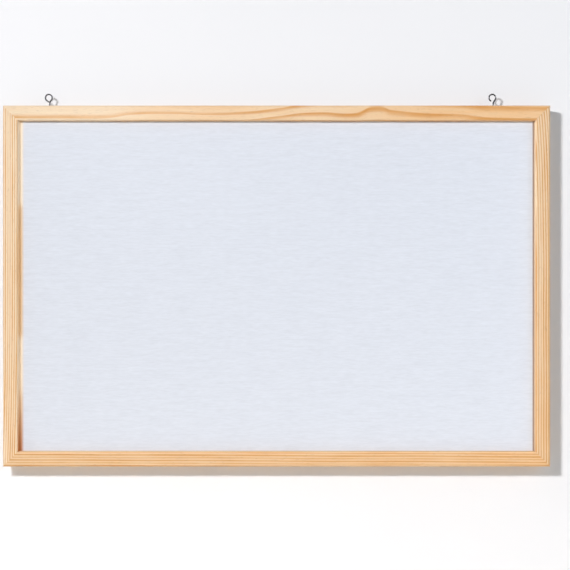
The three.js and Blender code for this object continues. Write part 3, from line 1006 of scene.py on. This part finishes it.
def stage_plane(name, near, far, material):
    """A flat stage piece as wide as the room, from one level line to another, each given as its Y and Z."""
    corners = [(-ROOM_SIDE, *near), (ROOM_SIDE, *near), (ROOM_SIDE, *far), (-ROOM_SIDE, *far)]
    data = bpy.data.meshes.new(name)
    data.from_pydata(corners, [], [(0, 1, 2, 3)])
    data.materials.append(material)
    plane = linked_object(name, data)
    plane.visible_shadow = False
    return plane


def soft_lamp(name, power, place, aim, size, even, colour):
    """A rectangular lamp aimed at a point. Its light is evened out over what it faces by the power even."""
    lamp = bpy.data.lights.new(name, "AREA")
    lamp.color = colour
    lamp.shape = "RECTANGLE"
    lamp.size, lamp.size_y = size
    lamp.energy = power
    way = Vector(aim) - Vector(place)
    if even:
        lamp.use_nodes = True
        tree = lamp.node_tree
        falloff = take("ShaderNodeLightFalloff", {"Strength": 1.0}, "Constant", tree)
        reach = take("ShaderNodeLightPath", key="Ray Length", tree=tree)
        gain = (reach / way.length).calc("POWER", even)
        feed(tree.nodes["Emission"].inputs["Strength"], falloff * gain)
    made = linked_object(name, lamp)
    made.visible_camera = False
    made.location = place
    made.rotation_euler = way.to_track_quat("-Z", "Y").to_euler()


def place_camera(studio):
    camera = bpy.data.cameras.new("Camera")
    camera.lens = studio.lens
    camera.shift_x = studio.shift_x
    camera.shift_y = studio.shift_y
    camera.clip_start = 0.01
    viewer = linked_object("Camera", camera)
    viewer.location = (studio.camera_x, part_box("rail_top")[0].y - studio.distance, studio.camera_z)
    viewer.rotation_euler = (QUARTER, 0.0, 0.0)
    return viewer


def pale_world(strength):
    """An even sky that looks white, but dim where gloss mirrors the room behind the viewer."""
    world = bpy.data.worlds.new("Pale studio")
    world.use_nodes = True
    tree = world.node_tree
    straight, mirrored = seen_rays(tree)
    behind = split(take("ShaderNodeTexCoord", key="Generated", tree=tree))[1]
    shown = straight.calc("MAXIMUM", mirrored * ramp(behind, -0.5, 0.1, 0.15, 1.0))
    sky = tree.nodes["Background"].inputs
    sky["Color"].default_value = (*WHITE, 1.0)
    feed(sky["Strength"], ramp(shown, 0.0, 1.0, strength, 1.0, "LINEAR"))
    return world


class WHITEBOARD_OT_stage(bpy.types.Operator):
    """Set up the camera, the pale wall and floor, the lamps and the even sky"""

    bl_idname = "whiteboard.stage"
    bl_label = "Stage"

    def execute(self, context):
        studio = context.scene.whiteboard_studio
        context.scene.camera = place_camera(studio)
        context.scene.view_settings.view_transform = "Standard"
        material = stage_material("Wall paint", studio.wall_colour, 0.9, studio.wall_haze)
        wall = stage_plane("wall", (WALL_GAP, studio.floor_z), (WALL_GAP, ROOM_TOP), material)
        wall.visible_diffuse = False
        wall.visible_transmission = False
        material = stage_material("Floor paint", studio.floor_colour, 0.8)
        stage_plane("floor", (-ROOM_REACH, studio.floor_z), (ROOM_REACH, studio.floor_z), material)
        for name, setting in LAMPS.items():
            soft_lamp(name, getattr(studio, f"{name.lower()}_power"), *setting)
        context.scene.world = pale_world(studio.world_strength)
        return {"FINISHED"}


class WHITEBOARD_PT_sidebar(bpy.types.Panel):
    """The whiteboard's sizes, finishes and pieces"""

    bl_idname = "WHITEBOARD_PT_sidebar"
    bl_label = "Magnetic Whiteboard"
    bl_space_type = "VIEW_3D"
    bl_region_type = "UI"
    bl_category = "Whiteboard"

    def draw(self, context):
        for name in GROUPS:
            group = getattr(context.scene, name)
            box = self.layout.box()
            for key in group.bl_rna.properties.keys():
                if key not in ("rna_type", "name"):
                    box.prop(group, key)
        for operator in OPERATORS:
            self.layout.operator(operator.bl_idname)


GROUPS = {
    "whiteboard_sizes": WhiteboardSizes,
    "whiteboard_hardware": WhiteboardHardware,
    "whiteboard_finish": WhiteboardFinish,
    "whiteboard_studio": WhiteboardStudio,
}
OPERATORS = (
    WHITEBOARD_OT_stage,
    WHITEBOARD_OT_rails,
    WHITEBOARD_OT_panel,
    WHITEBOARD_OT_corner_nails,
    WHITEBOARD_OT_panel_points,
    WHITEBOARD_OT_screw_eyes,
)
CLASSES = (*GROUPS.values(), *OPERATORS, WHITEBOARD_PT_sidebar)


def register():
    for item in CLASSES:
        bpy.utils.register_class(item)
    for name, group in GROUPS.items():
        setattr(bpy.types.Scene, name, PointerProperty(type=group))


def unregister():
    for name in GROUPS:
        delattr(bpy.types.Scene, name)
    for item in reversed(CLASSES):
        bpy.utils.unregister_class(item)


def main():
    register()
    bpy.ops.whiteboard.stage()
    bpy.ops.whiteboard.rails()
    bpy.ops.whiteboard.panel()
    bpy.ops.whiteboard.corner_nails()
    bpy.ops.whiteboard.panel_points()
    bpy.ops.whiteboard.screw_eyes()


if __name__ == "__main__":
    main()
